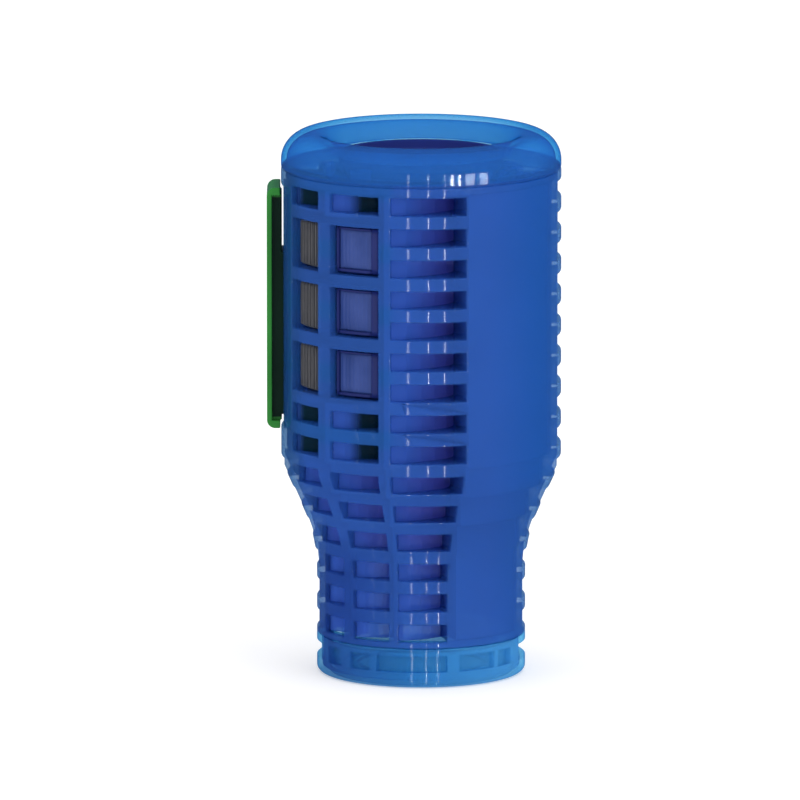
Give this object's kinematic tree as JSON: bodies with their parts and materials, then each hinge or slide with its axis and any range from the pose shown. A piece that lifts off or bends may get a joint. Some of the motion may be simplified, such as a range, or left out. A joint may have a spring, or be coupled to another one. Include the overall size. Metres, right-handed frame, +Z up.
{
  "type": "wasp trap",
  "caption": "Free-standing wasp trap: see-through blue slotted bottle cage, funnel cap, drowning dish and green slide-in bait cartridge on one side",
  "frame": {"origin": "middle of the round face that the trap stands on, on the axis of its round body", "axes": "+Z up along the body's axis; -Y is the front; the green grip bar is at -X"},
  "size_m": [0.1155, 0.11, 0.2145],
  "materials": {
    "blue_plastic": "see-through blue, polished moulding",
    "clear_plastic": "pale see-through blue, thin moulding",
    "green_plastic": "opaque mid green, satin gloss",
    "dark_green_plastic": "opaque dark green, fine texture",
    "silicone": "translucent silicone",
    "spring_steel": "rolled spring strip",
    "wick_felt": "dark pressed felt",
    "bait_felt": "beige pressed felt with fine vertical ribs",
    "scent_gel": "lavender gel in a ribbed film",
    "black_rubber": "matte moulded rubber",
    "lure": "waxy pressed bait"
  },
  "bodies": {
    "base": {"base_ring": "blue_plastic", "base_dish": "clear_plastic", "base_gasket": "silicone"},
    "casing": {"cage": "blue_plastic", "inner_bottle": "clear_plastic", "bait_housing": "clear_plastic", "housing_clips": "spring_steel", "scent_wick": "wick_felt", "felt_pads": "bait_felt", "gel_packs": "scent_gel"},
    "cap": {"rim_shell": "blue_plastic", "entry_funnel": "blue_plastic", "throat_collar": "dark_green_plastic", "locking_ring": "blue_plastic", "cap_gasket": "silicone"},
    "cartridge": {"cartridge_grip": "green_plastic", "cartridge_tray": "dark_green_plastic", "cartridge_cover": "dark_green_plastic", "cartridge_seal": "black_rubber", "lure_blocks": "lure"}
  },
  "joints": [
    {"name": "casing_lift", "type": "slide", "parent": "base", "child": "casing", "axis": [0, 0, 1], "range_m": [0, 0.03]},
    {"name": "cap_lift", "type": "slide", "parent": "casing", "child": "cap", "axis": [0, 0, 1], "range_m": [0, 0.04]},
    {"name": "cartridge_slide", "type": "slide", "parent": "casing", "child": "cartridge", "axis": [-1, 0, 0], "range_m": [0, 0.046]}
  ]
}
